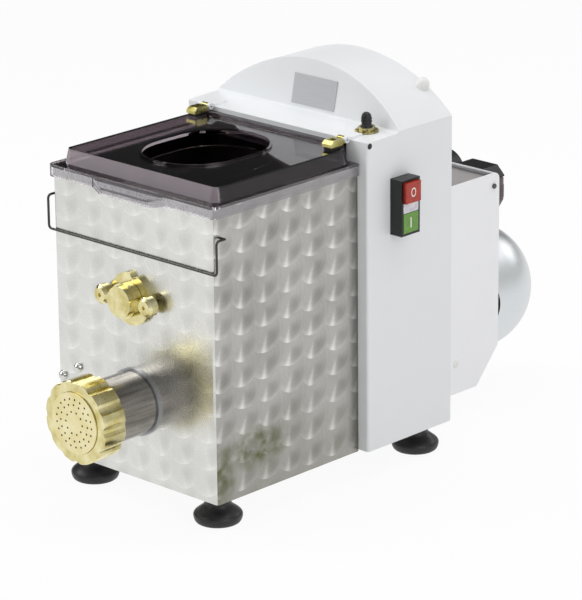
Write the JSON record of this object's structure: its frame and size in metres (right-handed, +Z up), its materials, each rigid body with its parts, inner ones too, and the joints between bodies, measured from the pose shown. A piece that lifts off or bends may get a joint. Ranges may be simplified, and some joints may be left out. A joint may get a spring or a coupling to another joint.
{
  "type": "electric pasta extruder",
  "caption": "Worktop electric pasta extruder: steel mixing box with a hinged clear lid, front screw press with a ring nut and die, white gear casing and a motor with a domed fan cowl behind.",
  "frame": {"origin": "centre of the footprint of the whole machine, on the plane that its feet stand on", "axes": "+X to the right seen from the front, +Y from the die towards the motor, +Z up"},
  "size_m": [0.28, 0.6766, 0.4235],
  "materials": {
    "black_plastic": "satin",
    "black_rubber": "matt",
    "brass": "polished",
    "bright_steel": "polished",
    "cast_aluminium": "cast",
    "clear_plastic": "gloss",
    "gear_steel": "machined",
    "green_plastic": "gloss",
    "grey_panel": "matt",
    "laminated_iron": "matt",
    "red_plastic": "gloss",
    "smoked_plastic": "gloss",
    "spun_aluminium": "brushed",
    "steel": "brushed",
    "turned_steel": "engine turned",
    "white_paint": "satin"
  },
  "bodies": {
    "machine": {"base_plate": "steel", "foot_front_left": "black_rubber", "foot_front_right": "black_rubber", "foot_rear_left": "black_rubber", "foot_rear_right": "black_rubber", "foot_bolts": "steel", "steel_casing": "turned_steel", "panel_screws": "bright_steel", "mixing_tank": "steel", "tank_seals": "black_rubber", "extruder_tube": "bright_steel", "tube_ring": "bright_steel", "front_bearing": "brass", "hinge_leaves": "brass", "hinge_pins": "bright_steel", "gear_casing": "white_paint", "rear_cover": "white_paint", "round_plug": "white_paint", "gear_plate_front": "gear_steel", "gear_plate_rear": "gear_steel", "gear_posts": "gear_steel", "shaft_bearings": "gear_steel", "motor_body": "cast_aluminium", "motor_shields": "cast_aluminium", "fan_cowl": "spun_aluminium", "motor_cover": "white_paint", "top_panel": "grey_panel", "cover_screws": "bright_steel", "terminal_box": "black_plastic", "cable_gland": "black_plastic", "capacitor": "black_plastic", "switch_body": "black_plastic", "pilot_lens": "clear_plastic", "contact_blocks": "black_plastic", "toggle_flange": "brass", "rating_plate": "spun_aluminium"},
    "lid": {"lid": "smoked_plastic", "lid_straps": "brass", "strap_pads": "black_rubber"},
    "bail": {"wire_bail": "steel"},
    "stop_button": {"stop_button": "red_plastic"},
    "start_button": {"start_button": "green_plastic"},
    "toggle": {"toggle_boot": "black_rubber", "toggle_lever": "bright_steel"},
    "die": {"die": "brass"},
    "ring_nut": {"ring_nut": "brass"},
    "nut_washer": {"nut_washer": "clear_plastic"},
    "wing_nut": {"wing_nut": "brass"},
    "mixer": {"mixer_shaft": "steel", "mixer_paddles": "steel", "drive_shaft": "gear_steel", "mixer_gear": "gear_steel", "main_wheel": "gear_steel"},
    "auger": {"auger": "steel", "auger_gear": "gear_steel"},
    "counter_shaft": {"counter_shaft": "gear_steel", "counter_gear": "gear_steel"},
    "motor_rotor": {"motor_shaft": "gear_steel", "rotor": "laminated_iron", "cooling_fan": "black_plastic"}
  },
  "joints": [
    {"name": "lid_hinge", "type": "hinge", "parent": "machine", "child": "lid", "pos_m": [-0.01, -0.04525, 0.3685], "axis": [1, 0, 0], "range_deg": [-105, 0]},
    {"name": "bail_swing", "type": "hinge", "parent": "machine", "child": "bail", "pos_m": [-0.01, -0.24125, 0.311], "axis": [1, 0, 0], "range_deg": [-128, 0]},
    {"name": "stop_press", "type": "slide", "parent": "machine", "child": "stop_button", "axis": [-1, 0, 0], "range_m": [0, 0.003], "stiffness_N_per_m": 600, "springref_m": -0.003},
    {"name": "start_press", "type": "slide", "parent": "machine", "child": "start_button", "axis": [-1, 0, 0], "range_m": [0, 0.003], "stiffness_N_per_m": 600, "springref_m": -0.003},
    {"name": "toggle_flick", "type": "hinge", "parent": "machine", "child": "toggle", "pos_m": [0.09, -0.00956, 0.37249], "axis": [1, 0, 0], "range_deg": [-10, 10]},
    {"name": "die_draw", "type": "slide", "parent": "machine", "child": "die", "axis": [0, -1, 0], "range_m": [0, 0.009]},
    {"name": "ring_nut_turn", "type": "hinge", "parent": "die", "child": "ring_nut", "pos_m": [-0.01, -0.31125, 0.114], "axis": [0, 1, 0], "range_deg": [0, 1080]},
    {"name": "washer_slide", "type": "slide", "parent": "machine", "child": "nut_washer", "axis": [0, -1, 0], "range_m": [0, 0.006]},
    {"name": "wing_nut_turn", "type": "hinge", "parent": "nut_washer", "child": "wing_nut", "pos_m": [-0.01, -0.26325, 0.226], "axis": [0, 1, 0], "range_deg": [0, 1080]},
    {"name": "mixer_spin", "type": "hinge", "parent": "machine", "child": "mixer", "pos_m": [-0.01, -0.14625, 0.226], "axis": [0, 1, 0], "continuous": true},
    {"name": "auger_spin", "type": "hinge", "parent": "machine", "child": "auger", "pos_m": [-0.01, -0.14625, 0.114], "axis": [0, 1, 0], "continuous": true},
    {"name": "counter_spin", "type": "hinge", "parent": "machine", "child": "counter_shaft", "pos_m": [0.05181, 0.00875, 0.14112], "axis": [0, 1, 0], "continuous": true},
    {"name": "motor_spin", "type": "hinge", "parent": "machine", "child": "motor_rotor", "pos_m": [-0.01, 0.14875, 0.114], "axis": [0, 1, 0], "continuous": true}
  ],
  "couplings": [
    {"joint": "auger_spin", "follows": "mixer_spin", "ratio": -1.6667},
    {"joint": "counter_spin", "follows": "mixer_spin", "ratio": -6},
    {"joint": "motor_spin", "follows": "mixer_spin", "ratio": 30},
    {"joint": "die_draw", "follows": "ring_nut_turn", "m_per_rad": 0.00047746},
    {"joint": "washer_slide", "follows": "wing_nut_turn", "m_per_rad": 0.00031831}
  ]
}
